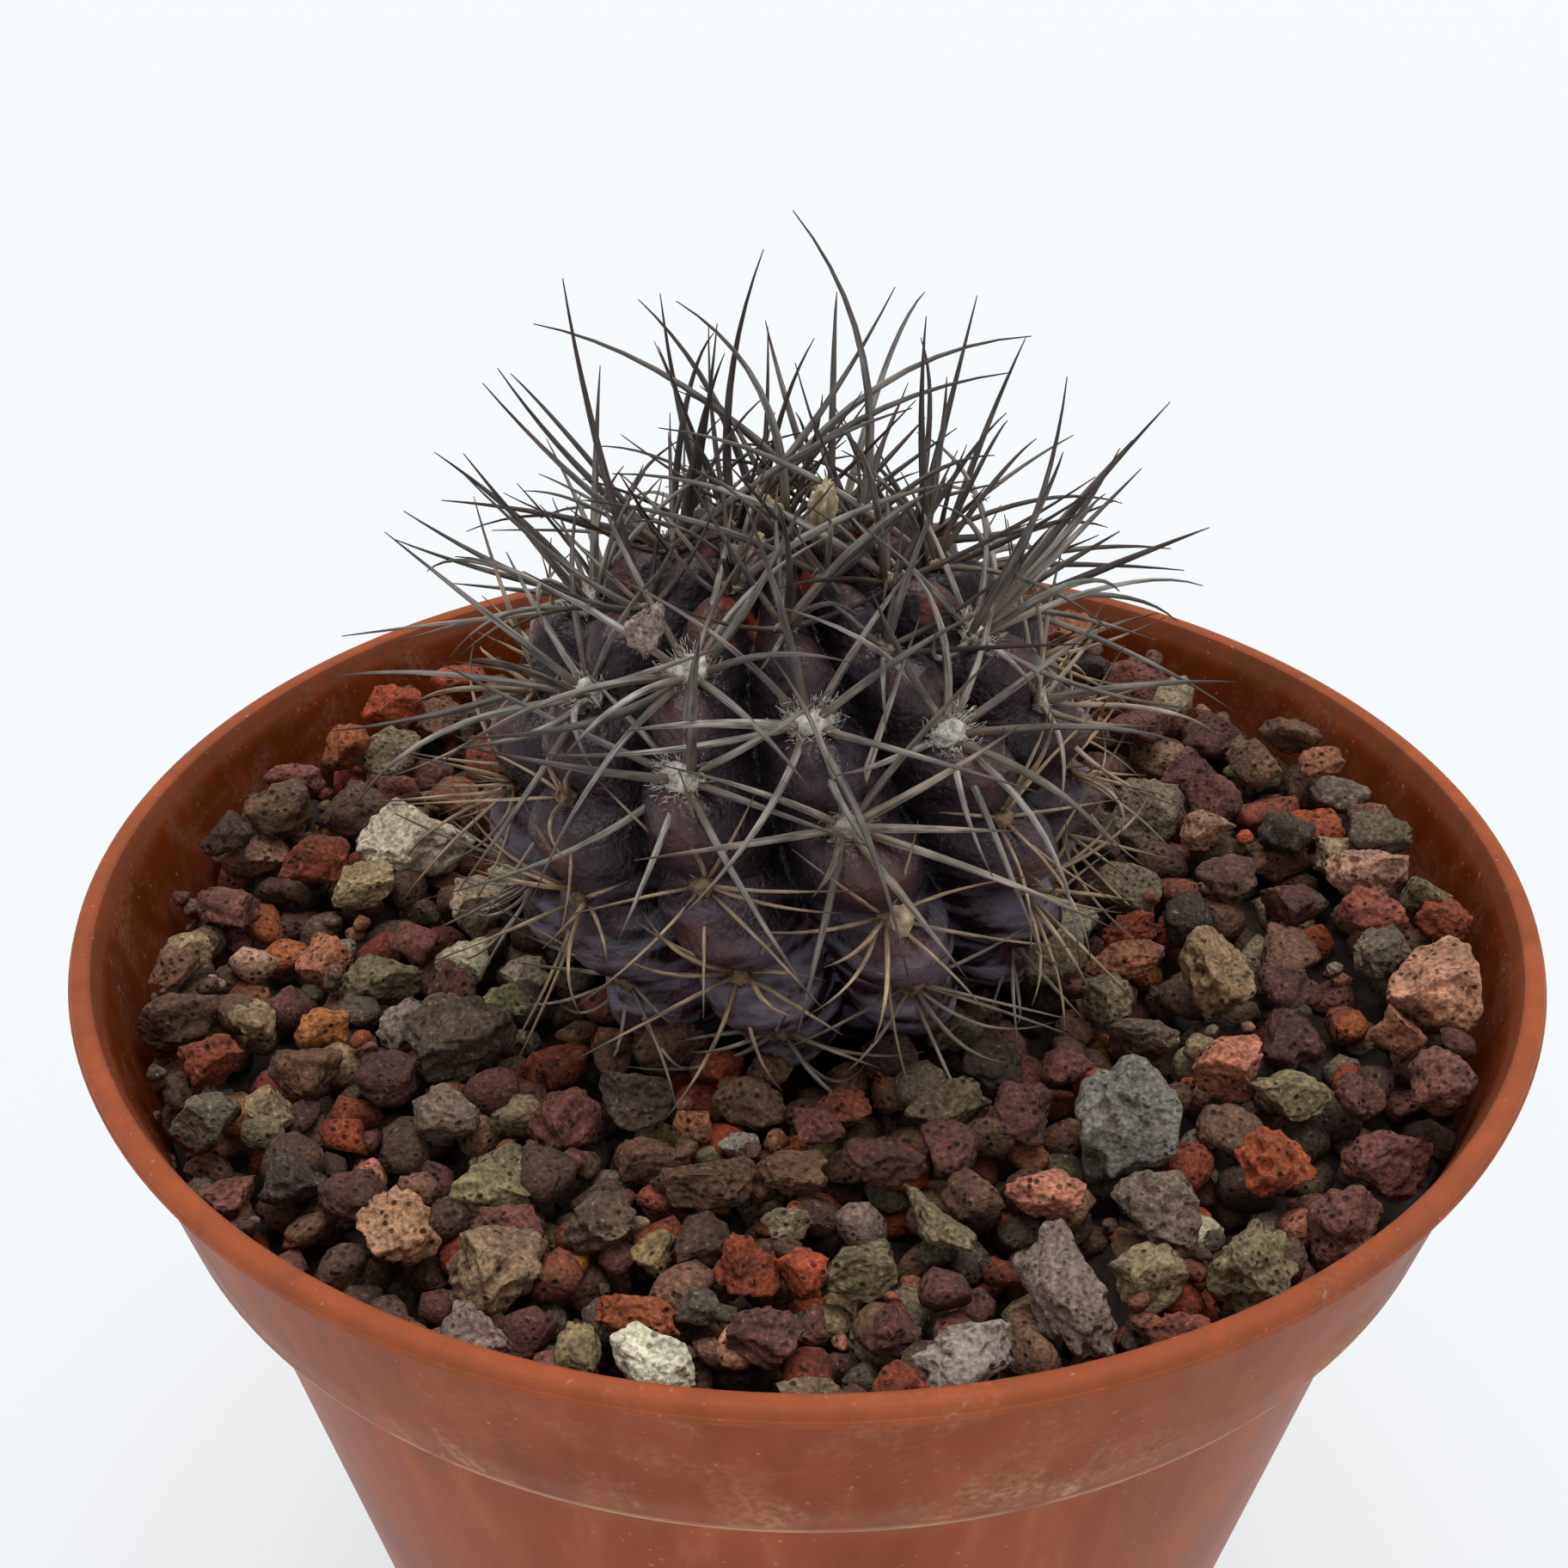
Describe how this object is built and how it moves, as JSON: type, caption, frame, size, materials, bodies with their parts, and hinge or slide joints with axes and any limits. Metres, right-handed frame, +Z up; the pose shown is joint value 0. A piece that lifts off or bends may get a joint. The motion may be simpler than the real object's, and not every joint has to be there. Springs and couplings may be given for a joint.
{
  "type": "potted cactus",
  "caption": "Dark round ribbed cactus with long grey spines, in a tapered terracotta-coloured plastic pot topped with crushed volcanic stone.",
  "frame": {"origin": "centre of the pot's standing face", "axes": "+Z up along the pot's axis, +X to the right and -Y towards the side that faces the viewer"},
  "size_m": [0.105, 0.105, 0.1224],
  "materials": {
    "terracotta_plastic": "moulded polypropylene, satin, dusty",
    "peat_mix": "damp loose peat and grit",
    "volcanic_gravel": "crushed volcanic stone, dry and porous",
    "cactus_skin": "dark waxy skin with a pale bloom",
    "spines": "fibrous grey spines on off-white wool",
    "pumice": "porous pumice",
    "dry_petal": "papery dried flower",
    "stone_grey_green_rock": "porous volcanic stone, matte",
    "stone_salmon_rim_rock": "porous volcanic stone, matte",
    "stone_orange_red_rock": "porous volcanic stone, matte",
    "stone_olive_porous_rock": "porous volcanic stone, matte",
    "stone_brown_faceted_rock": "porous volcanic stone, matte",
    "stone_lilac_long_rock": "porous volcanic stone, matte",
    "stone_salmon_rock": "porous volcanic stone, matte",
    "stone_tan_porous_rock": "porous volcanic stone, matte",
    "stone_mauve_wedge_rock": "porous volcanic stone, matte",
    "stone_cream_large_rock": "porous volcanic stone, matte",
    "stone_dark_grey_rock": "porous volcanic stone, matte",
    "stone_beige_porous_rock": "porous volcanic stone, matte",
    "stone_pink_brown_rock": "porous volcanic stone, matte",
    "stone_white_flat_rock": "porous volcanic stone, matte"
  },
  "bodies": {
    "root": {"pot": "terracotta_plastic", "potting_mix": "peat_mix", "gravel_bed": "volcanic_gravel", "stem": "cactus_skin", "lodged_pumice_grit": "pumice", "dried_flower_scrap": "dry_petal", "areole_spines_01": "spines", "areole_spines_02": "spines", "areole_spines_03": "spines", "areole_spines_04": "spines", "areole_spines_05": "spines", "areole_spines_06": "spines", "areole_spines_07": "spines", "areole_spines_08": "spines", "areole_spines_09": "spines", "areole_spines_10": "spines", "areole_spines_11": "spines", "areole_spines_12": "spines", "areole_spines_13": "spines", "areole_spines_14": "spines", "areole_spines_15": "spines", "areole_spines_16": "spines", "areole_spines_17": "spines", "areole_spines_18": "spines", "areole_spines_19": "spines", "areole_spines_20": "spines", "areole_spines_21": "spines", "areole_spines_22": "spines", "areole_spines_23": "spines", "areole_spines_24": "spines", "areole_spines_25": "spines", "areole_spines_26": "spines", "areole_spines_27": "spines", "areole_spines_28": "spines", "areole_spines_29": "spines", "areole_spines_30": "spines", "areole_spines_31": "spines", "areole_spines_32": "spines", "areole_spines_33": "spines", "areole_spines_34": "spines", "areole_spines_35": "spines", "areole_spines_36": "spines", "areole_spines_37": "spines", "areole_spines_38": "spines", "areole_spines_39": "spines", "areole_spines_40": "spines", "stone_grey_green": "stone_grey_green_rock", "stone_salmon_rim": "stone_salmon_rim_rock", "stone_orange_red": "stone_orange_red_rock", "stone_olive_porous": "stone_olive_porous_rock", "stone_brown_faceted": "stone_brown_faceted_rock", "stone_lilac_long": "stone_lilac_long_rock", "stone_salmon": "stone_salmon_rock", "stone_tan_porous": "stone_tan_porous_rock", "stone_mauve_wedge": "stone_mauve_wedge_rock", "stone_cream_large": "stone_cream_large_rock", "stone_dark_grey": "stone_dark_grey_rock", "stone_beige_porous": "stone_beige_porous_rock", "stone_pink_brown": "stone_pink_brown_rock", "stone_white_flat": "stone_white_flat_rock"}
  },
  "joints": []
}
